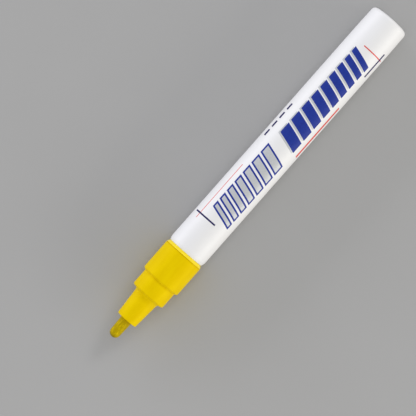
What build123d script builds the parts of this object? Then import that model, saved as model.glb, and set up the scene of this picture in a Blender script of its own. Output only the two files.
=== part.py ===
"""Paint marker with a pump valve and a bullet nib, built as separate pieces in one frame.

Millimetres, +Z up. The marker lies on its side along X, nib towards -X, with the collar on the
floor at z = 0 and the origin below the middle of its length. In every lengthwise section the
first coordinate is the distance from the nib's tip and the second is the radius.
"""

import os
from math import cos, dist, pi, sin, sqrt

from build123d import *

# Barrel: a closed aluminium can with a necked-in mouth
barrel_length = 100.8
barrel_diameter = 14.0
barrel_wall = 0.45
neck_length = 1.8
neck_inset = 0.48
tail_drop = 0.12
tail_taper_length = 14.0
tail_corner_radius = 1.5
tail_dome_height = 0.55
tail_floor = 0.8

# Nib holder: the nib tube and the cap seat, with a sleeve behind them inside the collar
nib_tube_length = 10.3
nib_tube_front_diameter = 7.4
nib_tube_rear_diameter = 8.8
nib_tube_edge_radius = 0.25
nib_mouth_chamfer = 0.25
shoulder_fillet = 1.1
blend_share = 0.62
edge_share = 0.31
cap_seat_length = 6.1
cap_seat_edge_radius = 0.55
cap_step = 0.9
sleeve_lead = 0.4
lead_share = 0.5

# Collar: the band behind the cap seat, with a spigot behind it inside the barrel
collar_length = 12.6
collar_wall = 2.62
collar_rise = 0.1
collar_edge_radius = 0.55
collar_chamfer_length = 1.2
spigot_length = 12.0
spigot_lead = 0.5
bead_height = 0.2
bead_width = 1.6
bead_ramp = 0.4
web_thickness = 2.0

# Nib and the paint channels beside it
nib_diameter = 4.1
nib_reach = 7.2
nib_travel = 2.5
nib_stop_gap = 0.4
nib_rear_chamfer = 0.3
nib_soak_length = 6.0
nib_soak_gap = 0.8
channel_count = 4
channel_width = 0.9
channel_depth = 0.45
channel_setback = 2.0

# Pump valve
rod_diameter = 2.2
rod_edge_chamfer = 0.2
seat_flow_gap = 0.6
seat_depth = 6.0
seat_lip_width = 0.45
seat_lip_height = 0.3
head_overlap = 0.35
head_thickness = 1.2
head_run_out = 0.5
stem_seal_thickness = 1.0
pin_diameter = 2.0
pin_overhang = 1.2
pin_lead = 0.4
chamber_gap = 0.45
housing_wall = 1.0
housing_flange_thickness = 1.2
housing_flange_inset = 0.4
socket_depth = 14.5

# Spring and its cage
spring_wire = 0.4
spring_turns = 7
spring_clearance = 0.25
cage_wall = 0.6
cage_floor = 1.0
cage_flange_thickness = 0.8
cage_flange_width = 1.2
cage_window_count = 4
cage_window_length = 3.6
cage_window_width = 1.5

# Seal rings
barrel_ring_section = 1.0
barrel_ring_setback = 7.5
housing_ring_section = 0.9
housing_ring_setback = 3.0
ring_groove_play = 0.2

# Mixing ball
ball_diameter = 6.0
ball_end_gap = 0.3

# Angle of the round faces' seams from the marker's top line, in degrees
seam_lean = 25.4

# Clearances
fit_clearance = 0.03
nib_clearance = 0.08
pin_clearance = 0.15
ring_clearance = 0.02
spring_end_gap = 0.01
ball_wall_gap = 0.1

# Radii, from the barrel inwards to the collar's spigot
barrel_radius = barrel_diameter / 2
barrel_bore_radius = barrel_radius - barrel_wall
tail_radius = barrel_radius - tail_drop
tail_bore_radius = tail_radius - barrel_wall
rim_radius = barrel_radius - neck_inset
rim_bore_radius = rim_radius - barrel_wall
collar_radius = barrel_radius + collar_rise
cap_seat_radius = collar_radius - cap_step
sleeve_bore_radius = collar_radius - collar_wall
sleeve_radius = sleeve_bore_radius - fit_clearance
spigot_radius = rim_bore_radius - fit_clearance
bead_radius = rim_bore_radius + bead_height

# Radii, from the valve's rod outwards to the socket in the collar
rod_radius = rod_diameter / 2
seat_bore_radius = rod_radius + seat_flow_gap
seat_lip_radius = seat_bore_radius + seat_lip_width
head_radius = seat_lip_radius + head_overlap
chamber_radius = head_radius + chamber_gap
housing_radius = chamber_radius + housing_wall
socket_radius = housing_radius + fit_clearance
housing_flange_radius = spigot_radius - housing_flange_inset

# Radii of the cage, the spring in it and the pin through both
skirt_radius = chamber_radius - fit_clearance
cage_bore_radius = skirt_radius - cage_wall
cage_flange_radius = skirt_radius + cage_flange_width
coil_radius = cage_bore_radius - spring_clearance - spring_wire / 2
pin_radius = pin_diameter / 2
pin_hole_radius = pin_radius + pin_clearance

# Radii of the nib and its bore
nib_radius = nib_diameter / 2
nib_bore_radius = nib_radius + nib_clearance
nib_chamber_radius = nib_radius + nib_soak_gap
nib_tube_front_radius = nib_tube_front_diameter / 2
nib_tube_rear_radius = nib_tube_rear_diameter / 2

# Stations along the marker, from the nib's tip
holder_front = nib_reach
shoulder_at = holder_front + nib_tube_length
step_at = shoulder_at + cap_seat_length
rim_at = step_at + collar_length
neck_end = rim_at + neck_length
tail_at = rim_at + barrel_length
dome_at = tail_at - tail_dome_height
taper_at = tail_at - tail_taper_length
floor_at = tail_at - tail_floor
spigot_end = rim_at + spigot_length
bead_at = neck_end + bead_ramp
socket_at = spigot_end - socket_depth
sleeve_end = socket_at - web_thickness
housing_end = spigot_end + housing_flange_thickness
seat_at = socket_at + seat_depth
head_front = seat_at + stem_seal_thickness
head_back = head_front + head_thickness
skirt_front = head_back + nib_travel + head_run_out
cage_flange_back = housing_end + cage_flange_thickness
cage_floor_at = cage_flange_back + cage_window_length
cage_end = cage_floor_at + cage_floor
stem_end = cage_end + pin_overhang
nib_end = socket_at - nib_travel - nib_stop_gap
guide_end = nib_end - nib_soak_length
barrel_ring_at = rim_at + barrel_ring_setback
housing_ring_at = socket_at + housing_ring_setback

# Frame: the section plane holds the marker's axis, and leans about it so that the seams of the
# round faces stay clear of the line that the marker lies on
overall_length = tail_at
axis_height = max(collar_radius, barrel_radius)
tip_point = (-overall_length / 2, 0, axis_height)
upright_plane = Plane(origin=tip_point, x_dir=(1, 0, 0), z_dir=(0, -1, 0))
section_plane = upright_plane.rotated((seam_lean, 0, 0))
marker_axis = Axis(tip_point, (1, 0, 0))


def cross_plane(station):
    """Return the plane square to the marker's axis at a station, facing the tail."""
    origin = (station - overall_length / 2, 0, axis_height)
    return Plane(origin=origin, x_dir=(0, 1, 0), z_dir=(1, 0, 0))


def corner(section, station, radius):
    """Return the section's vertex that lies nearest to a station and a radius."""
    return section.vertices().sort_by_distance((station, radius))[0]


os.makedirs("parts", exist_ok=True)

# Barrel: neck, straight wall, slight tail taper and a domed closed end
with BuildPart() as barrel:
    with BuildSketch(section_plane) as barrel_section:
        with BuildLine():
            Line((rim_at, rim_bore_radius), (rim_at, rim_radius))
            TangentArc((neck_end, barrel_radius), (rim_at, rim_radius), tangent=(-1, 0))
            Line((neck_end, barrel_radius), (taper_at, barrel_radius))
            TangentArc((taper_at, barrel_radius), (dome_at, tail_radius), tangent=(1, 0))
            TangentArc((tail_at, 0), (dome_at, tail_radius), tangent=(0, 1))
            Line((tail_at, 0), (floor_at, 0))
            TangentArc((floor_at, 0), (floor_at - tail_dome_height, tail_bore_radius), tangent=(0, 1))
            TangentArc(
                (taper_at, barrel_bore_radius),
                (floor_at - tail_dome_height, tail_bore_radius),
                tangent=(1, 0),
            )
            Line((taper_at, barrel_bore_radius), (neck_end, barrel_bore_radius))
            TangentArc((neck_end, barrel_bore_radius), (rim_at, rim_bore_radius), tangent=(-1, 0))
        make_face()
        fillet(corner(barrel_section, dome_at, tail_radius), tail_corner_radius)
        fillet(
            corner(barrel_section, floor_at - tail_dome_height, tail_bore_radius),
            tail_corner_radius - barrel_wall,
        )
    revolve(axis=marker_axis)
barrel.part.label = "barrel"
export_step(barrel.part, "parts/barrel.step")

# Nib holder: turned outside, then bored for the nib and the paint around its rear end
# The shoulder's two roundings share its height, and the sleeve's lead is limited by its wall
shoulder_height = cap_seat_radius - nib_tube_rear_radius
shoulder_blend = min(shoulder_fillet, blend_share * shoulder_height)
cap_seat_edge = min(cap_seat_edge_radius, edge_share * shoulder_height)
sleeve_chamfer = min(sleeve_lead, lead_share * (sleeve_radius - nib_chamber_radius))
with BuildPart() as nib_holder:
    with BuildSketch(section_plane) as holder_section:
        with BuildLine():
            Polyline(
                (holder_front, nib_bore_radius + nib_mouth_chamfer),
                (holder_front, nib_tube_front_radius),
                (shoulder_at, nib_tube_rear_radius),
                (shoulder_at, cap_seat_radius),
                (step_at, cap_seat_radius),
                (step_at, sleeve_radius),
                (sleeve_end - sleeve_chamfer, sleeve_radius),
                (sleeve_end, sleeve_radius - sleeve_chamfer),
                (sleeve_end, nib_chamber_radius),
                (guide_end + nib_soak_gap, nib_chamber_radius),
                (guide_end, nib_bore_radius),
                (holder_front + nib_mouth_chamfer, nib_bore_radius),
                close=True,
            )
        make_face()
        fillet(corner(holder_section, holder_front, nib_tube_front_radius), nib_tube_edge_radius)
        fillet(corner(holder_section, shoulder_at, nib_tube_rear_radius), shoulder_blend)
        fillet(corner(holder_section, shoulder_at, cap_seat_radius), cap_seat_edge)
    revolve(axis=marker_axis)
    # Paint channels along the nib's bore stop short of the front face
    with BuildSketch(cross_plane(holder_front + channel_setback)):
        with PolarLocations(nib_bore_radius, channel_count):
            Rectangle(2 * channel_depth, channel_width)
    extrude(amount=guide_end + nib_soak_gap - holder_front - channel_setback, mode=Mode.SUBTRACT)
nib_holder.part.label = "nib_holder"
export_step(nib_holder.part, "parts/nib_holder.step")

# Collar: holds the nib holder's sleeve in front of a web and the valve housing behind it
barrel_groove_floor = barrel_bore_radius - barrel_ring_section - 2 * ring_clearance
with BuildPart() as collar:
    with BuildSketch(section_plane) as collar_section:
        with BuildLine():
            Polyline(
                (step_at, sleeve_bore_radius),
                (step_at, collar_radius),
                (rim_at - collar_chamfer_length, collar_radius),
                (rim_at, rim_radius),
                (rim_at, spigot_radius),
                (bead_at, spigot_radius),
                (bead_at + bead_ramp, bead_radius),
                (bead_at + bead_width - bead_ramp, bead_radius),
                (bead_at + bead_width, spigot_radius),
                (spigot_end - spigot_lead, spigot_radius),
                (spigot_end, spigot_radius - spigot_lead),
                (spigot_end, socket_radius),
                (socket_at, socket_radius),
                (socket_at, nib_chamber_radius),
                (sleeve_end, nib_chamber_radius),
                (sleeve_end, sleeve_bore_radius),
                close=True,
            )
        make_face()
        fillet(corner(collar_section, step_at, collar_radius), collar_edge_radius)
        # Groove for the ring that seals the spigot in the barrel
        with Locations((barrel_ring_at, barrel_groove_floor)):
            Rectangle(
                barrel_ring_section + ring_groove_play,
                barrel_ring_section,
                align=(Align.CENTER, Align.MIN),
                mode=Mode.SUBTRACT,
            )
    revolve(axis=marker_axis)
collar.part.label = "collar"
export_step(collar.part, "parts/collar.step")

# Nib: a fibre rod with a round writing end
with BuildPart() as nib:
    with BuildSketch(section_plane):
        with BuildLine():
            TangentArc((0, 0), (nib_radius, nib_radius), tangent=(0, 1))
            Polyline(
                (nib_radius, nib_radius),
                (nib_end - nib_rear_chamfer, nib_radius),
                (nib_end, nib_radius - nib_rear_chamfer),
                (nib_end, 0),
                (0, 0),
            )
        make_face()
    revolve(axis=marker_axis)
nib.part.label = "nib"
export_step(nib.part, "parts/nib.step")

# Valve housing: plug with a bore for the rod, a raised seat lip and the spring chamber
housing_groove_floor = socket_radius - housing_ring_section - 2 * ring_clearance
with BuildPart() as valve_housing:
    with BuildSketch(section_plane):
        with BuildLine():
            Polyline(
                (socket_at, seat_bore_radius),
                (socket_at, housing_radius),
                (spigot_end, housing_radius),
                (spigot_end, housing_flange_radius),
                (housing_end, housing_flange_radius),
                (housing_end, chamber_radius),
                (seat_at - seat_lip_height, chamber_radius),
                (seat_at - seat_lip_height, seat_lip_radius),
                (seat_at, seat_lip_radius),
                (seat_at, seat_bore_radius),
                close=True,
            )
        make_face()
        with Locations((housing_ring_at, housing_groove_floor)):
            Rectangle(
                housing_ring_section + ring_groove_play,
                2 * housing_ring_section,
                align=(Align.CENTER, Align.MIN),
                mode=Mode.SUBTRACT,
            )
    revolve(axis=marker_axis)
valve_housing.part.label = "valve_housing"
export_step(valve_housing.part, "parts/valve_housing.step")

# Valve stem: rod to the nib, head behind the seat, pin through the spring and the cage
with BuildPart() as valve_stem:
    with BuildSketch(section_plane):
        with BuildLine():
            Polyline(
                (nib_end, 0),
                (nib_end, rod_radius - rod_edge_chamfer),
                (nib_end + rod_edge_chamfer, rod_radius),
                (head_front, rod_radius),
                (head_front, head_radius),
                (head_back, head_radius),
                (head_back, pin_radius),
                (stem_end - pin_lead, pin_radius),
                (stem_end, pin_radius - pin_lead),
                (stem_end, 0),
                close=True,
            )
        make_face()
    revolve(axis=marker_axis)
valve_stem.part.label = "valve_stem"
export_step(valve_stem.part, "parts/valve_stem.step")

# Stem seal: flat washer on the rod, between the head and the seat lip
with BuildPart() as stem_seal:
    with BuildSketch(cross_plane(seat_at)):
        Circle(head_radius)
        Circle(rod_radius + ring_clearance, mode=Mode.SUBTRACT)
    extrude(amount=stem_seal_thickness)
stem_seal.part.label = "stem_seal"
export_step(stem_seal.part, "parts/stem_seal.step")

# Spring cage: skirt in the housing, flange on its end, windows for the paint, guided hole
with BuildPart() as spring_cage:
    with BuildSketch(section_plane):
        with BuildLine():
            Polyline(
                (skirt_front, cage_bore_radius),
                (skirt_front, skirt_radius),
                (housing_end, skirt_radius),
                (housing_end, cage_flange_radius),
                (cage_flange_back, cage_flange_radius),
                (cage_flange_back, skirt_radius),
                (cage_end, skirt_radius),
                (cage_end, pin_hole_radius),
                (cage_floor_at, pin_hole_radius),
                (cage_floor_at, cage_bore_radius),
                close=True,
            )
        make_face()
    revolve(axis=marker_axis)
    with BuildSketch(cross_plane(cage_flange_back)):
        with PolarLocations((skirt_radius + cage_bore_radius) / 2, cage_window_count):
            Rectangle(3 * cage_wall, cage_window_width)
    extrude(amount=cage_window_length, mode=Mode.SUBTRACT)
spring_cage.part.label = "spring_cage"
export_step(spring_cage.part, "parts/spring_cage.step")

# Valve spring: an open coil from the head to the cage's floor
coil_start = head_back + spring_wire / 2 + spring_end_gap
coil_stop = cage_floor_at - spring_wire / 2 - spring_end_gap
coil_pitch = (coil_stop - coil_start) / spring_turns
quarters = 4 * spring_turns


def coil_point(turn):
    """Return the point on the coil's centre line after a number of turns."""
    angle = 2 * pi * turn
    along = coil_start + coil_pitch * turn - overall_length / 2
    return Vector(along, coil_radius * cos(angle), axis_height + coil_radius * sin(angle))


def coil_tangent(turn):
    """Return the direction of the coil's centre line after a number of turns."""
    angle = 2 * pi * turn
    return Vector(
        coil_pitch / (2 * pi), -coil_radius * sin(angle), coil_radius * cos(angle)
    ).normalized()


with BuildPart() as valve_spring:
    with BuildLine() as coil_line:
        for quarter in range(quarters):
            first = coil_point(quarter / 4)
            last = coil_point((quarter + 1) / 4)
            leave = coil_tangent(quarter / 4)
            arrive = coil_tangent((quarter + 1) / 4)
            chord = last - first
            both = leave + arrive
            spread = 1 - leave.dot(arrive)
            along_both = chord.dot(both)
            reach = (sqrt(along_both**2 + 2 * spread * chord.dot(chord)) - along_both) / (2 * spread)
            joint = (first + last + (leave - arrive) * reach) * 0.5
            TangentArc(first, joint, tangent=leave)
            TangentArc(joint, last, tangent=chord - both * reach)
    with BuildSketch(Plane(origin=coil_line.line @ 0, z_dir=coil_line.line % 0)):
        Circle(spring_wire / 2)
    sweep(path=coil_line.line)
valve_spring.part.label = "valve_spring"
export_step(valve_spring.part, "parts/valve_spring.step")

# Least gap of the coil to itself, measured on points at least half a turn apart
steps_per_turn = 48
samples = [tuple(coil_point(step / steps_per_turn)) for step in range(spring_turns * steps_per_turn + 1)]
least_gap = min(
    dist(samples[here], samples[there])
    for here in range(len(samples))
    for there in range(here + steps_per_turn // 2, min(here + 2 * steps_per_turn, len(samples)))
)
print("valve spring, least gap to itself at rest:", round(least_gap - spring_wire, 3), "mm")

# Seal rings: one on the collar's spigot, one on the valve housing
with BuildPart() as barrel_seal_ring:
    with BuildSketch(section_plane):
        ring_middle = barrel_groove_floor + ring_clearance + barrel_ring_section / 2
        with Locations((barrel_ring_at, ring_middle)):
            Circle(barrel_ring_section / 2)
    revolve(axis=marker_axis)
barrel_seal_ring.part.label = "barrel_seal_ring"
export_step(barrel_seal_ring.part, "parts/barrel_seal_ring.step")

with BuildPart() as housing_seal_ring:
    with BuildSketch(section_plane):
        ring_middle = housing_groove_floor + ring_clearance + housing_ring_section / 2
        with Locations((housing_ring_at, ring_middle)):
            Circle(housing_ring_section / 2)
    revolve(axis=marker_axis)
housing_seal_ring.part.label = "housing_seal_ring"
export_step(housing_seal_ring.part, "parts/housing_seal_ring.step")

# Mixing ball: at the tail, on the lowest line of the barrel's bore
ball_radius = ball_diameter / 2
ball_at = floor_at - tail_dome_height - ball_radius - ball_end_gap
ball_front_limit = stem_end + nib_travel + ball_radius + ball_end_gap
ball_drop = tail_bore_radius - ball_radius - ball_wall_gap
with BuildPart() as mixing_ball:
    with Locations((ball_at - overall_length / 2, 0, axis_height - ball_drop)):
        Sphere(ball_radius)
mixing_ball.part.label = "mixing_ball"
export_step(mixing_ball.part, "parts/mixing_ball.step")

print("overall length:", round(overall_length, 3), "mm, axis height:", round(axis_height, 3), "mm")
print("nib travel:", round(nib_travel, 3), "mm")
print("ball travel towards the nib:", round(ball_at - ball_front_limit, 3), "mm")
print("cap seat from x", round(shoulder_at + cap_seat_edge - overall_length / 2, 3))
print("cap seat to x", round(step_at - overall_length / 2, 3))
print("barrel grip from x", round(neck_end - overall_length / 2, 3))
print("barrel grip to x", round(taper_at - overall_length / 2, 3))
print("spring from x", round(coil_start - spring_wire / 2 - overall_length / 2, 3))
print("spring to x", round(coil_stop + spring_wire / 2 - overall_length / 2, 3))
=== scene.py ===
"""Looks of the paint marker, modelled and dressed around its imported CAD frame.

The marker lies along X with its nib towards -X. Sizes are in millimetres unless a name or a
docstring says metres. A station is a distance from the nib's tip along the marker's axis, a
radius is a distance from that axis, and an arc is a distance around the barrel from its top line.
"""

import logging
import math
from dataclasses import dataclass, replace
from enum import Enum
from typing import Mapping, Sequence

import bmesh
import bpy
from mathutils import Matrix, Vector, noise


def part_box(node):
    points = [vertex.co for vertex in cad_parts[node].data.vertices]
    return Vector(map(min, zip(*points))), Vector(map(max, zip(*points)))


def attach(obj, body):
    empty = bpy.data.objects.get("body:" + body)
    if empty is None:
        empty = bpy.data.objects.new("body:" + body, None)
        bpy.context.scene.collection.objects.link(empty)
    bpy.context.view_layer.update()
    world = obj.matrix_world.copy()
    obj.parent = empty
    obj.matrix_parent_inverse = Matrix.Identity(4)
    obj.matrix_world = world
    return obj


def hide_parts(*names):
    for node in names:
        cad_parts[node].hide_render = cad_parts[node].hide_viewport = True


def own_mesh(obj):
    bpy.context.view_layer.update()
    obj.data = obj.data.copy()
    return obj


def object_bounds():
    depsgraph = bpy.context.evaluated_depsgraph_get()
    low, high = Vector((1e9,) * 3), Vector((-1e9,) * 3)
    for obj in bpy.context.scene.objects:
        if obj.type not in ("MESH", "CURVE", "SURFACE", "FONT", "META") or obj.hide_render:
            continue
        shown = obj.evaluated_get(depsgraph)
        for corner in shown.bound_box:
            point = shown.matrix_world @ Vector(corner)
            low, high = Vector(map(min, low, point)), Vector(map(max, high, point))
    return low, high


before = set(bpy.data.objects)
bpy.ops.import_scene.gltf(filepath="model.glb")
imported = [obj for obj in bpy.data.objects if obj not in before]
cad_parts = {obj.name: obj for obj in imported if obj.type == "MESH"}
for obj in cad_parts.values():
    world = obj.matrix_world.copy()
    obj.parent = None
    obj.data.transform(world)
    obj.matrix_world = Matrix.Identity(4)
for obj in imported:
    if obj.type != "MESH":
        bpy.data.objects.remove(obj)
cad_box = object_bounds()

log = logging.getLogger("paint_marker")

MM = 0.001
# Vertices closer than this are one, in metres
MERGE_DISTANCE = 1e-7
# Vertices this near to a corner of an outline belong to it, in metres
CORNER_REACH = 1e-6
# Points of a flat film this near to a cut lie on it, in millimetres
CUT_REACH = 0.004
# Faces that meet more sharply than this keep a crisp edge
CRISP_ANGLE = math.radians(32)
# Station that the ends of a leaning bar of print gain for each millimetre of arc
BAR_LEAN = -0.29
# Inputs and output of a Mix node that blends colours
MIX_FACTOR, MIX_FIRST, MIX_SECOND, MIX_RESULT = 0, 6, 7, 2
# Part of a noise texture's range that a pattern spreads from 0 to 1
CLOUD_LOW, CLOUD_HIGH = 0.3, 0.7
# Levels of finer detail in the tones, in the rub marks, and in the relief and the flecks
TONE_DETAIL, RUB_DETAIL, GRAIN_DETAIL = 2.0, 3.0, 1.0
# Share of a pattern's range above which a fleck shows
FLECK_FROM = 0.62
# Share of the darker colour at the very tip, under which the fibres still show
TIP_DARKEST_SHARE = 0.8

Point = tuple[float, float]
Socket = bpy.types.NodeSocket
Tree = bpy.types.NodeTree
Material = bpy.types.Material
Object = bpy.types.Object
Mesh = bmesh.types.BMesh


class Body(Enum):
    """The bodies of the CAD frame that pieces ride on."""

    MARKER = "marker"
    NIB = "nib"


class Slot(Enum):
    """Names of material slots in the CAD frame; no piece here is given one."""

    LACQUER = "barrel_lacquer"
    NOSE = "nose_plastic"
    FIBRE = "nib_fibre"
    SPRING = "spring_steel"


class Ink(Enum):
    """The inks of a printed piece, by their material index."""

    MAIN = 0
    SECOND = 1


def linear(code: str) -> tuple[float, float, float, float]:
    """Turns an sRGB hex colour into linear light.

    Args:
        code: The colour as six hex digits after a hash sign.

    Returns:
        Red, green and blue in linear light, and an alpha of 1.
    """
    parts = [int(code[place : place + 2], 16) / 255 for place in (1, 3, 5)]
    light = [part / 12.92 if part <= 0.04045 else ((part + 0.055) / 1.055) ** 2.4 for part in parts]
    return (*light, 1.0)


def add_node(
    tree: Tree, kind: str, inputs: Mapping[str | int, object] | None = None, **settings: object
) -> bpy.types.Node:
    """Adds one node with its settings and links.

    Args:
        tree: The tree that gets the node.
        kind: Blender's name for the type of node.
        inputs: What goes into each input, by name or place: a socket to link or a value to set.
        settings: The node's own properties.

    Returns:
        The new node.
    """
    node = tree.nodes.new(kind)
    for name, value in settings.items():
        setattr(node, name, value)
    for name, value in (inputs or {}).items():
        if isinstance(value, Socket):
            tree.links.new(value, node.inputs[name])
        else:
            node.inputs[name].default_value = value
    return node


def tangent_arc(start: Point, end: Point, heading: Point, count: int) -> list[Point]:
    """Lays points along an arc that leaves its start in a given direction.

    Args:
        start: First point of the arc, which is left out of the list.
        end: Last point of the arc.
        heading: Direction of the arc at its start.
        count: How many points the list has.

    Returns:
        The points after the start, the end included.
    """
    first, last = Vector(start), Vector(end)
    ahead = Vector(heading).normalized()
    side = Vector((-ahead.y, ahead.x))
    chord = last - first
    # The centre lies beside the start, as far from it as from the end
    bend = chord.length_squared / (2 * chord.dot(side))
    centre = first + side * bend
    turn = 2 * math.atan2(chord.dot(side), chord.dot(ahead))
    arm = first - centre
    places = []
    for step in range(1, count + 1):
        part = turn * step / count
        spot = centre + Matrix.Rotation(part, 2) @ arm
        places.append((spot.x, spot.y))
    return places


@dataclass(frozen=True)
class Rounding:
    """A rounding of a circular edge.

    Attributes:
        radius: Its radius.
        steps: Faces across it.
    """

    radius: float
    steps: int


@dataclass(frozen=True)
class MarkerAxis:
    """The marker's own axis, which every turned piece shares.

    Attributes:
        tip: X of the nib's tip, in metres.
        height: Z of the axis, in metres.
    """

    tip: float
    height: float

    def point(self, station: float, radius: float = 0.0, angle: float = 0.0) -> Vector:
        """Places a point of a turned piece in the frame.

        Args:
            station: Distance from the nib's tip.
            radius: Distance from the axis.
            angle: Turn from the top line towards -Y, in radians.

        Returns:
            The point, in metres.
        """
        across = -radius * math.sin(angle) * MM
        upwards = self.height + radius * math.cos(angle) * MM
        return Vector((self.tip + station * MM, across, upwards))

    def station(self, place: Vector) -> float:
        """Returns the station of a place in the frame."""
        return (place.x - self.tip) / MM

    def radius(self, place: Vector) -> float:
        """Returns the distance of a place in the frame from the axis."""
        return math.hypot(place.y, place.z - self.height) / MM

    def angle(self, place: Vector) -> float:
        """Returns the turn of a place in the frame from the top line towards -Y."""
        return math.atan2(-place.y, place.z - self.height)

    def at_radius(self, place: Vector, radius: float) -> Vector:
        """Returns a place in the frame, moved straight out or in to a radius."""
        return self.point(self.station(place), radius, self.angle(place))

    def spin(self, outline: Sequence[Point], steps: int) -> Mesh:
        """Turns a closed outline about the axis.

        Args:
            outline: Stations and radii of its corners. A side that lies on the axis is left open.
            steps: Faces around the turned piece.

        Returns:
            The turned mesh, in metres, with its faces outwards.
        """
        mesh = bmesh.new()
        corners = [mesh.verts.new(self.point(*corner)) for corner in outline]
        sides = []
        for here in range(len(corners)):
            there = (here + 1) % len(corners)
            if outline[here][1] or outline[there][1]:
                sides.append(mesh.edges.new((corners[here], corners[there])))
        bmesh.ops.spin(
            mesh,
            geom=corners + sides,
            cent=self.point(0),
            axis=(1, 0, 0),
            angle=math.tau,
            steps=steps,
            use_merge=True,
        )
        bmesh.ops.remove_doubles(mesh, verts=mesh.verts, dist=MERGE_DISTANCE)
        bmesh.ops.recalc_face_normals(mesh, faces=mesh.faces)
        return mesh

    def round_corner(self, mesh: Mesh, corner: Point, rounding: Rounding) -> None:
        """Rounds the circular edge that a corner of an outline left on a turned piece.

        Args:
            mesh: The turned mesh, which is changed.
            corner: Station and radius of the edge.
            rounding: The rounding that the edge gets.
        """
        station, reach = corner

        def on_corner(vertex: bmesh.types.BMVert) -> bool:
            """Returns whether a vertex lies on the circular edge."""
            off = (self.station(vertex.co) - station, self.radius(vertex.co) - reach)
            return math.hypot(*off) * MM < CORNER_REACH

        edges = [edge for edge in mesh.edges if all(on_corner(vertex) for vertex in edge.verts)]
        turn = edges[0].calc_face_angle()
        bmesh.ops.bevel(
            mesh,
            geom=edges,
            offset=rounding.radius * math.tan(turn / 2) * MM,
            offset_type="OFFSET",
            affect="EDGES",
            segments=rounding.steps,
            profile=0.5,
            material=-1,
        )


def mesh_object(mesh: Mesh, name: str, materials: Sequence[Material]) -> Object:
    """Puts a finished mesh into the scene.

    Args:
        mesh: The finished mesh, in metres, which is used up.
        name: Name of the object.
        materials: Its materials, by material index.

    Returns:
        The object.
    """
    data = bpy.data.meshes.new(name)
    mesh.to_mesh(data)
    mesh.free()
    for material in materials:
        data.materials.append(material)
    made = bpy.data.objects.new(name, data)
    bpy.context.scene.collection.objects.link(made)
    return made


def make_piece(
    mesh: Mesh,
    name: str,
    materials: Sequence[Material],
    body: Body,
    stands_for: str | None = None,
) -> Object:
    """Turns a finished mesh into a piece that rides on a body of the frame.

    Args:
        mesh: The finished mesh, in metres, which is used up.
        name: Name of the piece.
        materials: Materials of the piece, by material index.
        body: The body that the piece moves with.
        stands_for: The CAD node that the piece replaces, if it replaces one.

    Returns:
        The piece.
    """
    piece = mesh_object(mesh, name, materials)
    piece.data.shade_smooth()
    piece.data.set_sharp_from_angle(angle=CRISP_ANGLE)
    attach(piece, body.value)
    if stands_for:
        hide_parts(stands_for)
    return piece


@dataclass(frozen=True)
class Finish:
    """A surface with two close tones, a gloss that varies and a fine relief.

    Attributes:
        name: What the material is and how its surface was made.
        tone: Main colour.
        shade: Colour of the patches that the main one drifts to.
        patch: Length and width of those patches, the length along the marker.
        gloss: Lowest and highest roughness.
        rub: Length and width of the marks that change the roughness.
        grain: Size of the relief's bumps.
        relief: Height of the relief.
        metallic: Share of metal.
        ior: Index of refraction.
        shine: Strength of its reflections, 0.5 for the bare index of refraction.
        glint: Colour of its reflections, seen straight on.
        coat: Share of a clear coat.
        coat_roughness: Roughness of that coat.
    """

    name: str
    tone: str
    shade: str
    patch: Point
    gloss: Point
    rub: Point
    grain: float
    relief: float
    metallic: float = 0.0
    ior: float = 1.5
    shine: float = 0.5
    glint: str = "#FFFFFF"
    coat: float = 0.0
    coat_roughness: float = 0.1

    def pattern(self, tree: Tree, place: Socket, size: Point, detail: float) -> Socket:
        """Adds a cloudy pattern that is stretched along the marker.

        Args:
            tree: The material's tree.
            place: Object coordinates.
            size: Length and width of the pattern's patches.
            detail: Levels of finer detail.

        Returns:
            The pattern's value, from 0 to 1.
        """
        # Object coordinates are in metres
        along, across = (1 / (length * MM) for length in size)
        stretched = add_node(tree, "ShaderNodeMapping", {"Vector": place, "Scale": (along, across, across)})
        cloud = add_node(
            tree,
            "ShaderNodeTexNoise",
            {"Vector": stretched.outputs["Vector"], "Scale": 1.0, "Detail": detail},
        )
        spread = add_node(
            tree,
            "ShaderNodeMapRange",
            {"Value": cloud.outputs["Fac"], "From Min": CLOUD_LOW, "From Max": CLOUD_HIGH},
        )
        return spread.outputs["Result"]

    def colour(self, tree: Tree, place: Socket) -> Socket:
        """Adds the drift between the two tones.

        Args:
            tree: The material's tree.
            place: Object coordinates.

        Returns:
            The surface's colour.
        """
        drift = self.pattern(tree, place, self.patch, TONE_DETAIL)
        blend = add_node(
            tree,
            "ShaderNodeMix",
            {MIX_FACTOR: drift, MIX_FIRST: linear(self.tone), MIX_SECOND: linear(self.shade)},
            data_type="RGBA",
        )
        return blend.outputs[MIX_RESULT]

    def material(self) -> Material:
        """Builds the finish as a material.

        Returns:
            The material, with colour, roughness and relief from its nodes.
        """
        made = bpy.data.materials.new(self.name)
        made.use_nodes = True
        tree = made.node_tree
        tree.nodes.clear()
        place = add_node(tree, "ShaderNodeTexCoord").outputs["Object"]
        rubbed = self.pattern(tree, place, self.rub, RUB_DETAIL)
        smooth, rough = self.gloss
        roughness = add_node(
            tree, "ShaderNodeMapRange", {"Value": rubbed, "To Min": smooth, "To Max": rough}
        )
        height = self.pattern(tree, place, (self.grain, self.grain), GRAIN_DETAIL)
        bump = add_node(
            tree,
            "ShaderNodeBump",
            {"Height": height, "Strength": 1.0, "Distance": self.relief * MM},
        )
        shader = add_node(
            tree,
            "ShaderNodeBsdfPrincipled",
            {
                "Base Color": self.colour(tree, place),
                "Roughness": roughness.outputs["Result"],
                "Normal": bump.outputs["Normal"],
                "Metallic": self.metallic,
                "IOR": self.ior,
                "Specular IOR Level": self.shine,
                "Specular Tint": linear(self.glint),
                "Coat Weight": self.coat,
                "Coat Roughness": self.coat_roughness,
            },
        )
        add_node(tree, "ShaderNodeOutputMaterial", {"Surface": shader.outputs["BSDF"]})
        return made


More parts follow.
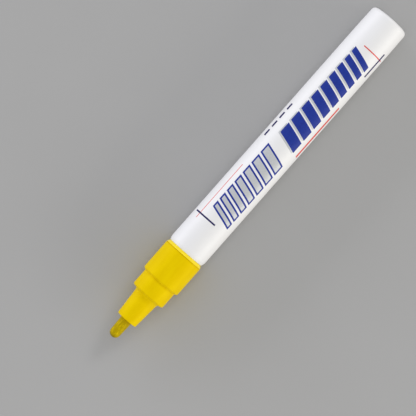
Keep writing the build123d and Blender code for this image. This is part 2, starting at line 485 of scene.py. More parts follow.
@dataclass(frozen=True, kw_only=True)
class FibreFinish(Finish):
    """A bundle of fibres along the marker, drawn darker towards one end.

    Attributes:
        fleck: Colour of the flecks of fresh paint between the fibres.
        fleck_size: Length and width of a fleck.
        tip_tone: Colour that the fibres darken to towards the tip.
        darkening_from: X where the darkening begins, in metres.
        darkening_to: X where the fibres are darkest, in metres.
    """

    fleck: str
    fleck_size: Point
    tip_tone: str
    darkening_from: float
    darkening_to: float

    def colour(self, tree: Tree, place: Socket) -> Socket:
        """Adds the fibres, the flecks and the darker end.

        Args:
            tree: The material's tree.
            place: Object coordinates.

        Returns:
            The surface's colour.
        """
        specks = self.pattern(tree, place, self.fleck_size, GRAIN_DETAIL)
        spots = add_node(tree, "ShaderNodeMapRange", {"Value": specks, "From Min": FLECK_FROM})
        along = add_node(tree, "ShaderNodeSeparateXYZ", {"Vector": place}).outputs["X"]
        # The fibres are drawn darker towards the tip, along X
        towards_tip = add_node(
            tree,
            "ShaderNodeMapRange",
            {"Value": along, "From Min": self.darkening_from, "From Max": self.darkening_to, "To Max": TIP_DARKEST_SHARE},
            interpolation_type="SMOOTHSTEP",
        )
        colour = super().colour(tree, place)
        for share, tint in ((spots, self.fleck), (towards_tip, self.tip_tone)):
            blend = add_node(
                tree,
                "ShaderNodeMix",
                {MIX_FACTOR: share.outputs["Result"], MIX_FIRST: colour, MIX_SECOND: linear(tint)},
                data_type="RGBA",
            )
            colour = blend.outputs[MIX_RESULT]
        return colour


# Baked white enamel on drawn aluminium, under clear varnish: bright soft bands, a faint orange peel
WHITE_LACQUER = Finish(
    name="white_enamel_baked_on_aluminium",
    tone="#E4E4E5",
    shade="#E1E1E2",
    patch=(24.0, 6.0),
    gloss=(0.44, 0.54),
    rub=(16.0, 0.7),
    grain=1.1,
    relief=0.002,
    coat=0.15,
    coat_roughness=0.38,
)

# Pigmented polypropylene from a spark-eroded mould: a satin yellow with faint flow marks
# The grain is drawn five times as coarse as the real one, so that it shows
YELLOW_PLASTIC = Finish(
    name="yellow_moulded_polypropylene",
    tone="#E3C504",
    shade="#DDBD03",
    patch=(9.0, 2.2),
    gloss=(0.42, 0.54),
    rub=(4.0, 0.8),
    grain=0.3,
    relief=0.004,
    ior=1.49,
    shine=0.08,
    glint="#FFD838",
)

# The same plastic where the mould was polished, with a lighter tone that is a painted highlight,
# so the chamfer shows as a clear pale line
POLISHED_HIGHLIT_PLASTIC = replace(
    YELLOW_PLASTIC,
    name="yellow_polished_polypropylene_painted_highlight",
    tone="#F6DE38",
    shade="#F2D932",
    gloss=(0.2, 0.28),
    shine=0.5,
)

# Screen ink on the lacquer: a dense satin navy, a little uneven where the screen left it
# The unevenness of all four inks is drawn four times as coarse as a screen's mesh, so that it shows
NAVY_INK = Finish(
    name="navy_screen_ink",
    tone="#183290",
    shade="#152B86",
    patch=(0.6, 0.6),
    gloss=(0.42, 0.54),
    rub=(0.6, 0.6),
    grain=0.4,
    relief=0.003,
    shine=0.22,
)

# The fine rules' ink: nearly black, with a cast of violet
INDIGO_INK = replace(NAVY_INK, name="indigo_screen_ink", tone="#1F1B58", shade="#1A174E", shine=0.12)

# Ink with a little metal powder: a light grey that glints faintly
SILVER_INK = replace(
    NAVY_INK,
    name="silver_screen_ink",
    tone="#BEC1C4",
    shade="#B6B9BC",
    patch=(0.5, 0.5),
    gloss=(0.34, 0.48),
    rub=(0.5, 0.5),
    grain=0.3,
    metallic=0.15,
    shine=0.5,
)

# Thin red ink: the white below it shows through, so it looks a little pale
RED_INK = replace(
    NAVY_INK, name="red_screen_ink", tone="#D9493F", shade="#D04037", gloss=(0.34, 0.46), shine=0.5
)

# Natural acetal, moulded and left unpigmented: off-white and waxy
NATURAL_ACETAL = Finish(
    name="natural_moulded_acetal",
    tone="#E9E6DC",
    shade="#DFDBCE",
    patch=(3.0, 1.2),
    gloss=(0.3, 0.42),
    rub=(1.5, 0.5),
    grain=0.25,
    relief=0.002,
    ior=1.48,
)

# Nitrile rubber, moulded: nearly black, with a dull bloom
BLACK_NITRILE = Finish(
    name="black_moulded_nitrile",
    tone="#1B1B1C",
    shade="#262628",
    patch=(0.8, 0.8),
    gloss=(0.5, 0.68),
    rub=(0.7, 0.7),
    grain=0.12,
    relief=0.004,
    ior=1.52,
)

# Stainless spring wire, drawn through a die: bright metal, slightly clouded
DRAWN_STEEL = Finish(
    name="drawn_stainless_wire",
    tone="#C9C8C4",
    shade="#B6B5B1",
    patch=(0.4, 0.4),
    gloss=(0.2, 0.34),
    rub=(0.3, 0.3),
    grain=0.08,
    relief=0.001,
    metallic=1.0,
)

# Stainless ball, ground and polished: nearly a mirror, with faint smears of paint solvent
POLISHED_STEEL = Finish(
    name="polished_stainless_ball",
    tone="#CFCECB",
    shade="#C2C1BD",
    patch=(2.0, 2.0),
    gloss=(0.1, 0.22),
    rub=(1.8, 1.8),
    grain=0.5,
    relief=0.0005,
    metallic=1.0,
)

# Matt painted board under the marker: a plain pale grey
PALE_BOARD = Finish(
    name="pale_matt_board",
    tone="#A5A5A5",
    shade="#A3A3A3",
    patch=(60.0, 60.0),
    gloss=(0.9, 0.95),
    rub=(20.0, 20.0),
    grain=2.0,
    relief=0.004,
)


def dress_nodes(nodes: Sequence[str], finish: Finish) -> None:
    """Gives CAD nodes their finish.

    Args:
        nodes: Names of the nodes.
        finish: The finish that they share.
    """
    material = finish.material()
    for node in nodes:
        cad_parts[node].material_slots[0].material = material
        log.info("node %s: %s", node, material.name)


@dataclass(frozen=True)
class SubAssembly:
    """Pieces of the marker that are built together.

    Attributes:
        axis: The marker's axis, which they share.
    """

    axis: MarkerAxis

    def build(self) -> list[Object]:
        """Models and dresses the pieces and returns the new ones."""
        raise NotImplementedError


@dataclass(frozen=True)
class Barrel(SubAssembly):
    """The lacquered can: a necked mouth, a straight wall and a domed tail.

    Attributes:
        mouth: Station of the mouth.
        length: Length from the mouth to the tail.
        radius: Radius of the straight wall.
        wall: Thickness of the wall.
        neck_length: Length of the neck behind the mouth.
        neck_inset: How much smaller the mouth's radius is than the wall's.
        taper_length: Length of the slight taper at the tail.
        tail_drop: How much smaller the tail's radius is than the wall's.
        dome_height: Height of the domed end.
        floor: Thickness of the closed end.
        tail_rounding: Rounding of the tail's outer edge.
        lip_rounding: Rounding of the mouth's outer edge.
        steps: Faces around.
        neck_steps: Faces along the neck.
        taper_steps: Faces along the taper.
        dome_steps: Faces from the middle of the dome to its edge.
    """

    mouth: float
    length: float
    radius: float = 7.0
    wall: float = 0.45
    neck_length: float = 1.8
    neck_inset: float = 0.48
    taper_length: float = 14.0
    tail_drop: float = 0.12
    dome_height: float = 0.55
    floor: float = 0.8
    tail_rounding: Rounding = Rounding(1.5, 10)
    lip_rounding: Rounding = Rounding(0.26, 3)
    steps: int = 224
    neck_steps: int = 8
    taper_steps: int = 6
    dome_steps: int = 10

    def skin(self, tail: float, depth: float) -> list[Point]:
        """Lays one skin of the wall, from the mouth to the middle of the tail.

        Args:
            tail: Station of the skin's end on the axis.
            depth: How deep the skin lies below the outside.

        Returns:
            Stations and radii of the skin.
        """
        rim = (self.mouth, self.radius - self.neck_inset - depth)
        shoulder = (self.mouth + self.neck_length, self.radius - depth)
        taper = (self.mouth + self.length - self.taper_length, self.radius - depth)
        edge = (tail - self.dome_height, self.radius - self.tail_drop - depth)
        pole = (tail, 0.0)
        neck = tangent_arc(shoulder, rim, (-1, 0), self.neck_steps)
        dome = tangent_arc(pole, edge, (0, 1), self.dome_steps)
        return [
            *reversed(neck),
            shoulder,
            taper,
            *tangent_arc(taper, edge, (1, 0), self.taper_steps),
            *reversed(dome[:-1]),
            pole,
        ]

    def build(self) -> list[Object]:
        """Models and dresses the can.

        Returns:
            The can, as a list of one piece.
        """
        tail = self.mouth + self.length
        inside = self.skin(tail - self.floor, self.wall)
        mesh = self.axis.spin([*self.skin(tail, 0.0), *reversed(inside)], self.steps)
        edge = (tail - self.dome_height, self.radius - self.tail_drop)
        self.axis.round_corner(mesh, edge, self.tail_rounding)
        rim = (self.mouth, self.radius - self.neck_inset)
        self.axis.round_corner(mesh, rim, self.lip_rounding)
        lacquer = WHITE_LACQUER.material()
        return [make_piece(mesh, "barrel_can", [lacquer], Body.MARKER, "barrel")]


def slice_flat(mesh: Mesh, place: Sequence[float], square: Sequence[float]) -> None:
    """Cuts the faces of a flat mesh along the line through a place, square to a direction."""
    whole = [*mesh.verts, *mesh.edges, *mesh.faces]
    bmesh.ops.bisect_plane(mesh, geom=whole, dist=CUT_REACH, plane_co=place, plane_no=square)


@dataclass(frozen=True)
class Patch:
    """A four-sided patch of print, laid flat: its ends may lean, its sides follow the barrel.

    Attributes:
        start: Station of its nib-side end, where that end meets the low side.
        end: Station of its tail-side end, where that end meets the low side.
        low: Arc of its low side.
        high: Arc of its high side.
        lean: Station that an end gains for each millimetre of arc.
    """

    start: float
    end: float
    low: float
    high: float
    lean: float = 0.0

    def moved(self, along: float, around: float) -> "Patch":
        """Returns the patch, moved along and around the barrel."""
        low, high = self.low + around, self.high + around
        return Patch(self.start + along, self.end + along, low, high, self.lean)

    def inset(self, margin: float) -> "Patch":
        """Moves each side of the patch in.

        Args:
            margin: How far each side moves, square to itself.

        Returns:
            The smaller patch.
        """
        aside = margin * math.hypot(1, self.lean)
        along = margin * self.lean
        low, high = self.low + margin, self.high - margin
        return Patch(self.start + along + aside, self.end + along - aside, low, high, self.lean)

    def holds(self, place: Vector) -> bool:
        """Returns whether a flat place lies in the patch."""
        shift = self.lean * (place.y - self.low)
        return self.low < place.y < self.high and self.start < place.x - shift < self.end

    def cut(self, mesh: Mesh) -> None:
        """Cuts a flat mesh along the lines of the patch's four sides.

        Args:
            mesh: The flat mesh, which is changed.
        """
        for station in (self.start, self.end):
            slice_flat(mesh, (station, self.low, 0), (1, -self.lean, 0))
        for arc in (self.low, self.high):
            slice_flat(mesh, (self.start, arc, 0), (0, 1, 0))


# The patches of one film with their inks, the uppermost first
Film = Sequence[tuple[Patch, Ink]]


@dataclass(frozen=True)
class Row:
    """A row of bars that fills a patch and shares its lean.

    Attributes:
        span: The patch.
        count: How many bars there are.
        gap: Gap between bars.
        narrowing: How much narrower each bar is than the one before.
    """

    span: Patch
    count: int
    gap: float
    narrowing: float = 0.0

    def bars(self) -> list[Patch]:
        """Divides the row.

        Returns:
            The bars, from the nib's side to the tail's.
        """
        inked = self.span.end - self.span.start - self.gap * (self.count - 1)
        width = inked / self.count + self.narrowing * (self.count - 1) / 2
        start = self.span.start
        made = []
        for _ in range(self.count):
            made.append(replace(self.span, start=start, end=start + width))
            start += width + self.gap
            width -= self.narrowing
        return made


@dataclass(frozen=True)
class Print(SubAssembly):
    """The print on the barrel: leaning bars that widen and narrow again, between fine crossed rules.

    Attributes:
        radius: Radius of the lacquer under the print.
        film: Thickness of an ink film.
        over_film: Thickness of the film that crosses another.
        bend_step: Arc between the lines that a film bends at.
        outlined_row: The row of outlined bars.
        outline: Width of their outline.
        solid_row: The row of solid bars.
        shadow: How far the shadow of a solid bar lies along and around the barrel.
        dash_row: The row of small dark dashes.
        red_rules: The fine red rules and the red stripe.
        dark_rules: The fine dark rules, which cross the red ones.
    """

    radius: float
    film: float = 0.014
    over_film: float = 0.022
    bend_step: float = 0.3
    outlined_row: Row = Row(Patch(53.3, 80.4, -3.5, 5.8, BAR_LEAN), count=7, gap=0.8, narrowing=-0.25)
    outline: float = 0.6
    solid_row: Row = Row(Patch(85.5, 122.2, -2.9, 5.3, BAR_LEAN), count=9, gap=1.1, narrowing=0.25)
    shadow: Point = (-0.55, -0.45)
    dash_row: Row = Row(Patch(81.5, 95.0, -7.6, -6.7), count=4, gap=1.2)
    red_rules: tuple[Patch, ...] = (
        Patch(47.1, 69.7, -5.7, -5.45),
        Patch(83.0, 104.0, 7.5, 8.5, BAR_LEAN),
        Patch(123.85, 124.23, -0.9, 8.15),
    )
    dark_rules: tuple[Patch, ...] = (
        Patch(48.76, 49.31, -8.05, 1.3),
        Patch(116.8, 126.5, 6.7, 7.37),
    )

    def cut_out(self, film: Film) -> Mesh:
        """Cuts a film's patches out of a flat sheet and adds the lines that it bends at.

        Args:
            film: The film's patches with their inks.

        Returns:
            The flat film, with stations along X and arcs along Y, in millimetres.
        """
        patches = [patch for patch, _ in film]
        tilt = max(abs(patch.lean * (patch.high - patch.low)) for patch in patches)
        start = min(patch.start for patch in patches) - tilt
        end = max(patch.end for patch in patches) + tilt
        lowest = Vector((start, min(patch.low for patch in patches), 0))
        highest = Vector((end, max(patch.high for patch in patches), 0))
        sheet = bmesh.new()
        # A grid of size 0.5 is a square with sides of 1
        corners = bmesh.ops.create_grid(sheet, x_segments=1, y_segments=1, size=0.5)["verts"]
        bmesh.ops.scale(sheet, verts=corners, vec=highest - lowest + Vector((0, 0, 1)))
        bmesh.ops.translate(sheet, verts=corners, vec=(lowest + highest) / 2)
        for patch in patches:
            patch.cut(sheet)
        bare = []
        for face in sheet.faces:
            middle = face.calc_center_median()
            ink = next((ink for patch, ink in film if patch.holds(middle)), None)
            if ink is None:
                bare.append(face)
            else:
                face.material_index = ink.value
        bmesh.ops.delete(sheet, geom=bare, context="FACES")
        bends = math.floor((highest.y - lowest.y) / self.bend_step)
        for bend in range(1, bends + 1):
            slice_flat(sheet, (0, lowest.y + bend * self.bend_step, 0), (0, 1, 0))
        return sheet

    def lay(self, film: Film, thickness: float, into: Mesh) -> None:
        """Wraps one film round the barrel.

        Args:
            film: The film's patches with their inks.
            thickness: Thickness of the film.
            into: The mesh that gets the film.
        """
        sheet = self.cut_out(film)
        bmesh.ops.solidify(sheet, geom=list(sheet.faces), thickness=thickness)
        for vertex in sheet.verts:
            station, arc, height = vertex.co
            vertex.co = self.axis.point(station, self.radius + abs(height), arc / self.radius)
        bmesh.ops.recalc_face_normals(sheet, faces=sheet.faces)
        # So thin a shell can come out of that with its faces inwards
        if sheet.calc_volume(signed=True) < 0:
            bmesh.ops.reverse_faces(sheet, faces=sheet.faces)
        passing = bpy.data.meshes.new("film")
        sheet.to_mesh(passing)
        sheet.free()
        into.from_mesh(passing)
        bpy.data.meshes.remove(passing)

    def build(self) -> list[Object]:
        """Models and dresses the printed films.

        Returns:
            The printed pieces.
        """
        inks = (NAVY_INK, INDIGO_INK, SILVER_INK, RED_INK)
        navy, indigo, silver, red = (ink.material() for ink in inks)
        outlined = [
            [(bar.inset(self.outline), Ink.SECOND), (bar, Ink.MAIN)] for bar in self.outlined_row.bars()
        ]
        solid = [
            [(bar, Ink.MAIN), (bar.moved(*self.shadow), Ink.SECOND)] for bar in self.solid_row.bars()
        ]
        fine_red = [[(rule, Ink.MAIN)] for rule in self.red_rules]
        fine_dark = [[(rule, Ink.MAIN)] for rule in (*self.dark_rules, *self.dash_row.bars())]
        pieces = []
        for name, films, thickness, materials in (
            ("print_outlined_bars", outlined, self.film, [navy, silver]),
            ("print_solid_bars", solid, self.film, [navy, silver]),
            ("print_red_rules", fine_red, self.film, [red]),
            ("print_navy_rules", fine_dark, self.over_film, [indigo]),
        ):
            mesh = bmesh.new()
            for film in films:
                self.lay(film, thickness, mesh)
            pieces.append(make_piece(mesh, name, materials, Body.MARKER))
        return pieces


@dataclass(frozen=True)
class Nose(SubAssembly):
    """The yellow mouldings: the nib holder in front and the collar behind it.

    Attributes:
        front: Station of the nib holder's front face.
        shoulder: Station of the shoulder behind the nib tube.
        step: Station where the cap seat meets the collar.
        sleeve_end: Station of the sleeve's rear end, inside the collar.
        socket: Station of the valve's socket in the collar.
        rim: Station where the collar meets the barrel.
        spigot_end: Station of the spigot's rear end, inside the barrel.
        tube_radii: Radii of the nib tube at its front and at the shoulder.
        seat_radius: Radius of the cap seat.
        sleeve_radius: Radius of the sleeve.
        sleeve_bore: Radius of the collar's bore around the sleeve.
        bore: Radius of the nib's bore.
        chamber: Radius of the bore around the nib's rear end.
        chamber_front: Station where the bore starts to widen.
        collar_radius: Radius of the collar.
        rim_radius: Radius of the collar's chamfer where it meets the barrel.
        chamfer_length: Length of that chamfer.
        socket_radius: Radius of the valve's socket.
        spigot_radius: Radius of the spigot.
        spigot_lead: Chamfer at the spigot's rear end.
        sleeve_lead: Chamfer at the sleeve's rear end.
        bead: Station of the snap bead behind the barrel's neck.
        bead_width: Width of that bead.
        bead_ramp: Length of the bead's slopes.
        bead_radius: Radius of the bead.
        ring: Station of the barrel's seal ring.
        groove_width: Width of the ring's groove.
        groove_floor: Radius of the groove's floor.
        split_width: Width of the fine line in front of the chamfer.
        split_depth: Depth of that line.
        tube_rounding: Rounding of the nib tube's front edge.
        shoulder_blend: Hollow at the foot of the shoulder.
        seat_rounding: Rounding of the cap seat's front edge.
        collar_rounding: Rounding of the collar's front edge.
        chamfer_rounding: Rounding of the chamfer's front edge.
        rim_rounding: Rounding of the chamfer's edge at the barrel.
        mouth_chamfer: Chamfer at the bore's mouth.
        channels: How many paint channels run along the bore.
        channel_width: Width of a channel.
        channel_depth: Depth of a channel.
        channel_setback: Distance of the channels from the front face.
        steps: Faces around.
    """

    front: float
    shoulder: float = 17.5
    step: float = 23.6
    sleeve_end: float = 31.7
    socket: float = 33.7
    rim: float = 36.2
    spigot_end: float = 48.2
    tube_radii: Point = (3.7, 4.4)
    seat_radius: float = 6.2
    sleeve_radius: float = 4.45
    sleeve_bore: float = 4.48
    bore: float = 2.13
    chamber: float = 2.85
    chamber_front: float = 24.8
    collar_radius: float = 7.1
    rim_radius: float = 6.52
    chamfer_length: float = 0.95
    socket_radius: float = 3.98
    spigot_radius: float = 6.04
    spigot_lead: float = 0.5
    sleeve_lead: float = 0.4
    bead: float = 38.4
    bead_width: float = 1.6
    bead_ramp: float = 0.4
    bead_radius: float = 6.27
    ring: float = 43.7
    groove_width: float = 1.2
    groove_floor: float = 5.51
    split_width: float = 0.14
    split_depth: float = 0.2
    tube_rounding: Rounding = Rounding(0.4, 5)
    shoulder_blend: Rounding = Rounding(1.1, 12)
    seat_rounding: Rounding = Rounding(0.7, 6)
    collar_rounding: Rounding = Rounding(0.85, 6)
    chamfer_rounding: Rounding = Rounding(0.1, 4)
    rim_rounding: Rounding = Rounding(0.2, 4)
    mouth_chamfer: float = 0.25
    channels: int = 4
    channel_width: float = 0.9
    channel_depth: float = 0.45
    channel_setback: float = 2.0
    steps: int = 224

    def build_holder(self, plastic: Material) -> Object:
        """Models the nib holder with its rounded edges and its paint channels.

        Args:
            plastic: The nose's plastic.

        Returns:
            The nib holder as a piece.
        """
        tube_front, tube_rear = self.tube_radii
        widening = self.chamber - self.bore
        outline = [
            (self.front, self.bore + self.mouth_chamfer),
            (self.front, tube_front),
            (self.shoulder, tube_rear),
            (self.shoulder, self.seat_radius),
            (self.step, self.seat_radius),
            (self.step, self.sleeve_radius),
            (self.sleeve_end - self.sleeve_lead, self.sleeve_radius),
            (self.sleeve_end, self.sleeve_radius - self.sleeve_lead),
            (self.sleeve_end, self.chamber),
            (self.chamber_front + widening, self.chamber),
            (self.chamber_front, self.bore),
            (self.front + self.channel_setback, self.bore),
            (self.front + self.mouth_chamfer, self.bore),
        ]
        mesh = self.axis.spin(outline, self.steps)
        self.cut_channels(mesh)
        self.axis.round_corner(mesh, (self.front, tube_front), self.tube_rounding)
        self.axis.round_corner(mesh, (self.shoulder, tube_rear), self.shoulder_blend)
        self.axis.round_corner(mesh, (self.shoulder, self.seat_radius), self.seat_rounding)
        return make_piece(mesh, "nib_holder_moulding", [plastic], Body.MARKER, "nib_holder")

    def cut_channels(self, mesh: Mesh) -> None:
        """Sinks the paint channels into the nib's bore.

        Args:
            mesh: The nib holder's mesh, which is changed.
        """
        half_width = self.channel_width / 2 / self.bore
        pitch = math.tau / self.channels
        channel_start = self.front + self.channel_setback
        floors = []
        for face in mesh.faces:
            place = face.calc_center_median()
            aside = (self.axis.angle(place) + pitch / 2) % pitch - pitch / 2
            along = channel_start < self.axis.station(place) < self.chamber_front
            if along and self.axis.radius(place) < self.bore and abs(aside) < half_width:
                floors.append(face)
        sunk = bmesh.ops.extrude_face_region(mesh, geom=floors)["geom"]
        for vertex in sunk:
            if isinstance(vertex, bmesh.types.BMVert):
                radius = self.axis.radius(vertex.co) + self.channel_depth
                vertex.co = self.axis.at_radius(vertex.co, radius)
        bmesh.ops.delete(mesh, geom=[face for face in floors if face.is_valid], context="FACES")

    def build_collar(self, plastic: Material, polished_highlit: Material) -> Object:
        """Models the collar with its chamfer, and the spigot with its bead and groove.

        Args:
            plastic: The nose's plastic.
            polished_highlit: The same plastic on the chamfer, polished, with a painted highlight in its
                lighter tone.

        Returns:
            The collar as a piece.
        """
        chamfer = self.rim - self.chamfer_length
        split = chamfer - self.split_width
        bead_end = self.bead + self.bead_width
        groove = self.ring - self.groove_width / 2
        outline = [
            (self.step, self.sleeve_bore),
            (self.step, self.collar_radius),
            (split - self.split_width, self.collar_radius),
            (split - self.split_width, self.collar_radius - self.split_depth),
            (split, self.collar_radius - self.split_depth),
            (split, self.collar_radius),
            (chamfer, self.collar_radius),
            (self.rim, self.rim_radius),
            (self.rim, self.spigot_radius),
            (self.bead, self.spigot_radius),
            (self.bead + self.bead_ramp, self.bead_radius),
            (bead_end - self.bead_ramp, self.bead_radius),
            (bead_end, self.spigot_radius),
            (groove, self.spigot_radius),
            (groove, self.groove_floor),
            (groove + self.groove_width, self.groove_floor),
            (groove + self.groove_width, self.spigot_radius),
            (self.spigot_end - self.spigot_lead, self.spigot_radius),
            (self.spigot_end, self.spigot_radius - self.spigot_lead),
            (self.spigot_end, self.socket_radius),
            (self.socket, self.socket_radius),
            (self.socket, self.chamber),
            (self.sleeve_end, self.chamber),
            (self.sleeve_end, self.sleeve_bore),
        ]
        mesh = self.axis.spin(outline, self.steps)
        self.axis.round_corner(mesh, (self.step, self.collar_radius), self.collar_rounding)
        self.axis.round_corner(mesh, (chamfer, self.collar_radius), self.chamfer_rounding)
        self.axis.round_corner(mesh, (self.rim, self.rim_radius), self.rim_rounding)
        # The chamfer's faces take the lighter tone, which is a painted highlight
        finishes = [plastic, polished_highlit]
        for face in mesh.faces:
            place = face.calc_center_median()
            behind = chamfer < self.axis.station(place) < self.rim
            outside = self.axis.radius(place) > self.spigot_radius
            face.material_index = finishes.index(polished_highlit if behind and outside else plastic)
        return make_piece(mesh, "collar_moulding", finishes, Body.MARKER, "collar")

    def build(self) -> list[Object]:
        """Models and dresses both mouldings.

        Returns:
            The collar and the nib holder.
        """
        plastic = YELLOW_PLASTIC.material()
        polished_highlit = POLISHED_HIGHLIT_PLASTIC.material()
        return [self.build_collar(plastic, polished_highlit), self.build_holder(plastic)]


@dataclass(frozen=True)
class Nib(SubAssembly):
    """The bullet nib: a bundle of fibres with a round writing end.

    Attributes:
        length: Length of the nib.
        radius: Radius of the nib in its tube.
        taper: How much slimmer the nib is behind its round tip.
        taper_length: Length over which it gets that much slimmer.
        rear_chamfer: Chamfer at its rear end.
        flutes: How many shallow grooves the fibres leave around it, about.
        flute_depth: Greatest depth of a groove.
        dark_tip_length: Length of the end that is drawn darker.
        steps: Faces around.
        tip_steps: Faces along the round tip.
    """

    length: float
    radius: float = 2.05
    taper: float = 0.17
    taper_length: float = 5.3
    rear_chamfer: float = 0.3
    flutes: int = 30
    flute_depth: float = 0.05
    dark_tip_length: float = 1.2
    steps: int = 192
    tip_steps: int = 16

    def finish(self) -> FibreFinish:
        """Describes the nib's acrylic fibres, soaked with paint: ochre streaks, dark at the tip.

        The streaks are drawn five times as coarse as single fibres, so that they show.

        Returns:
            The finish.
        """
        return FibreFinish(
            name="acrylic_fibre_soaked_with_paint",
            tone="#BDA409",
            shade="#968105",
            patch=(7.0, 0.22),
            gloss=(0.5, 0.7),
            rub=(2.0, 0.15),
            grain=0.14,
            relief=0.01,
            ior=1.47,
            shine=0.2,
            glint="#FFE050",
            fleck="#CDB308",
            fleck_size=(1.4, 0.3),
            tip_tone="#77650A",
            darkening_from=self.axis.tip + self.dark_tip_length * MM,
            darkening_to=self.axis.tip,
        )

    def build(self) -> list[Object]:
        """Models and dresses the nib.

        Returns:
            The nib, as a list of one piece.
        """
        tip = self.radius - self.taper
        outline = [
            (0.0, 0.0),
            *tangent_arc((0.0, 0.0), (tip, tip), (0, 1), self.tip_steps),
            (tip + self.taper_length, self.radius),
            (self.length - self.rear_chamfer, self.radius),
            (self.length, self.radius - self.rear_chamfer),
            (self.length, 0.0),
        ]
        mesh = self.axis.spin(outline, self.steps)
        # A groove and the ridge beside it take about two units of noise, which runs from -1 to 1
        waves = self.flutes / math.pi
        for vertex in mesh.verts:
            angle = self.axis.angle(vertex.co)
            swell = noise.noise(Vector((math.cos(angle), math.sin(angle), 0)) * waves)
            share = 1 - self.flute_depth / self.radius * (0.5 + 0.5 * swell)
            vertex.co = self.axis.at_radius(vertex.co, self.axis.radius(vertex.co) * share)
        fibre = self.finish().material()
        return [make_piece(mesh, "nib_fibre_bundle", [fibre], Body.NIB, "nib")]


@dataclass(frozen=True)
class Valve(SubAssembly):
    """The pump valve inside the nose: its coil is new, its other pieces are dressed.

    Attributes:
        coil_radius: Radius of the coil's centre line.
        wire: Diameter of the wire.
        turns: Turns of the coil.
        turn_steps: Faces along the wire for one turn.
        wire_sides: Faces around the wire.
        plastic_nodes: The valve's plastic pieces.
        rubber_nodes: The valve's and the barrel's seals.
    """

    coil_radius: float = 1.87
    wire: float = 0.4
    turns: int = 7
    turn_steps: int = 48
    wire_sides: int = 14
    plastic_nodes: tuple[str, ...] = ("valve_housing", "valve_stem", "spring_cage")
    rubber_nodes: tuple[str, ...] = ("stem_seal", "barrel_seal_ring", "housing_seal_ring")

    def build_coil(self) -> Object:
        """Winds the spring at the length of its CAD node; the coil keeps that length.

        Returns:
            The spring as a piece.
        """
        low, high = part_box("valve_spring")
        length = high.x - low.x
        steps = self.turns * self.turn_steps
        advance = (length - self.wire * MM) / steps
        start = self.axis.station(low) + self.wire / 2
        mesh = bmesh.new()
        ring = bmesh.ops.create_circle(mesh, segments=self.wire_sides, radius=self.wire / 2 * MM)["verts"]
        side = self.axis.point(start, self.coil_radius, -math.pi / 2)
        bmesh.ops.translate(mesh, verts=ring, vec=side)
        bmesh.ops.spin(
            mesh,
            geom=[*mesh.verts, *mesh.edges],
            cent=self.axis.point(0),
            axis=(1, 0, 0),
            dvec=(advance, 0, 0),
            angle=math.tau * self.turns,
            steps=steps,
        )
        ends = [edge for edge in mesh.edges if edge.is_boundary]
        bmesh.ops.holes_fill(mesh, edges=ends, sides=self.wire_sides)
        bmesh.ops.recalc_face_normals(mesh, faces=mesh.faces)
        steel = DRAWN_STEEL.material()
        coil = make_piece(mesh, "valve_spring_coil", [steel], Body.MARKER, "valve_spring")
        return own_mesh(coil)

    def build(self) -> list[Object]:
        """Winds the spring and dresses the other pieces.

        Returns:
            The spring, as a list of one piece.
        """
        dress_nodes(self.plastic_nodes, NATURAL_ACETAL)
        dress_nodes(self.rubber_nodes, BLACK_NITRILE)
        return [self.build_coil()]


@dataclass(frozen=True)
class SoftBox:
    """A flat lamp that points at a spot of the marker.

    Attributes:
        name: Name of the lamp.
        place: Where it stands, in metres.
        size: Its width and height, in metres.
        level: How bright it makes a white surface that faces it, as a share of white.
        colour: Its colour.
    """

    name: str
    place: tuple[float, float, float]
    size: Point
    level: float
    colour: str = "#FFFFFF"

    def build(self, target: Vector) -> None:
        """Sets up the lamp.

        Args:
            target: The point that it faces, in metres.
        """
        lamp = bpy.data.lights.new(self.name, "AREA")
        lamp.shape = "RECTANGLE"
        lamp.size, lamp.size_y = self.size
        ray = target - Vector(self.place)
        # The lamp spreads its power over pi, and a white surface spreads over pi what it gets of it
        lamp.energy = self.level * math.pi**2 * ray.length_squared
        lamp.color = linear(self.colour)[:3]
        lit = bpy.data.objects.new(self.name, lamp)
        lit.location = self.place
        lit.rotation_euler = ray.to_track_quat("-Z", "Y").to_euler()
        bpy.context.scene.collection.objects.link(lit)


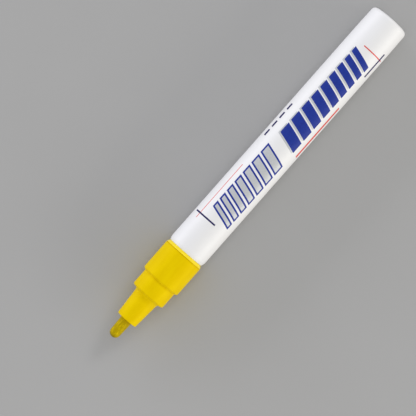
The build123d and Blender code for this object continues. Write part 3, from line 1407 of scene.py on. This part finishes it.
@dataclass(frozen=True)
class Studio:
    """A pale board, soft lamps on both sides, and a camera straight above.

    Attributes:
        axis: The marker's axis, which the lamps and the camera are set to.
        boxes: The soft lamps.
        sky: Even light from all around, as a share of white.
        floor_radius: Radius of the board, in metres.
        floor_steps: Sides of the board's round edge.
        lens: Focal length of the camera.
        sensor: Width of the camera's sensor.
        frame_width: Width of the picture at the marker's axis.
        frame_centre: X and Y in the middle of the picture.
        roll: Turn of the camera about its line of sight, in degrees.
    """

    axis: MarkerAxis
    boxes: tuple[SoftBox, ...] = (
        SoftBox("side_light_left", (0.0, 1.35, 0.29), (2.1, 0.54), 0.67, "#F5F5FF"),
        SoftBox("side_light_right", (0.0, -1.35, 0.29), (2.1, 0.54), 0.65, "#FFFAEF"),
        SoftBox("tail_light", (0.8, 0.0, 0.66), (0.32, 0.26), 0.2),
        SoftBox("nib_light", (-0.6, 0.0, 0.55), (0.4, 0.3), 0.1),
    )
    sky: float = 0.65
    floor_radius: float = 0.9
    floor_steps: int = 128
    lens: float = 200.0
    sensor: float = 36.0
    frame_width: float = 134.75
    frame_centre: Point = (-16.7, 4.08)
    roll: float = -48.63

    def build_floor(self) -> None:
        """Lays the board under the marker."""
        mesh = bmesh.new()
        bmesh.ops.create_circle(
            mesh, cap_ends=True, cap_tris=True, segments=self.floor_steps, radius=self.floor_radius
        )
        floor = mesh_object(mesh, "floor_board", [PALE_BOARD.material()])

    def build_sky(self) -> None:
        """Sets the even light from all around."""
        world = bpy.data.worlds.new("even_studio_light")
        world.use_nodes = True
        tree = world.node_tree
        tree.nodes.clear()
        light = add_node(tree, "ShaderNodeBackground", {"Color": linear("#FFFFFF"), "Strength": self.sky})
        add_node(tree, "ShaderNodeOutputWorld", {"Surface": light.outputs["Background"]})
        bpy.context.scene.world = world

    def build_camera(self) -> None:
        """Hangs the camera over the marker."""
        data = bpy.data.cameras.new("camera")
        data.lens = self.lens
        data.sensor_width = self.sensor
        camera = bpy.data.objects.new("camera", data)
        along, across = (length * MM for length in self.frame_centre)
        distance = self.frame_width * self.lens / self.sensor * MM
        camera.location = (along, across, self.axis.height + distance)
        camera.rotation_euler = (0, 0, math.radians(self.roll))
        bpy.context.scene.collection.objects.link(camera)
        bpy.context.scene.camera = camera

    def build(self) -> None:
        """Sets up the board, the lamps and the camera."""
        self.build_floor()
        self.build_sky()
        for box in self.boxes:
            box.build(Vector((0, 0, self.axis.height)))
        self.build_camera()
        bpy.context.scene.view_settings.view_transform = "Standard"


def main() -> None:
    """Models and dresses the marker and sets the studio."""
    logging.basicConfig(level=logging.INFO, format="%(name)s: %(message)s")
    low, high = cad_box
    axis = MarkerAxis(tip=low.x, height=(low.z + high.z) / 2)
    barrel_low, barrel_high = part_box("barrel")
    holder_low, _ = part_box("nib_holder")
    _, nib_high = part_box("nib")
    mouth = axis.station(barrel_low)
    barrel = Barrel(axis, mouth=mouth, length=axis.station(barrel_high) - mouth)
    parts: list[SubAssembly] = [
        barrel,
        Print(axis, radius=barrel.radius),
        Nose(axis, front=axis.station(holder_low)),
        Nib(axis, length=axis.station(nib_high)),
        Valve(axis),
    ]
    for part in parts:
        for piece in part.build():
            log.info("piece %s: %d faces", piece.name, len(piece.data.polygons))
    dress_nodes(["mixing_ball"], POLISHED_STEEL)
    Studio(axis).build()


if __name__ == "__main__":
    main()
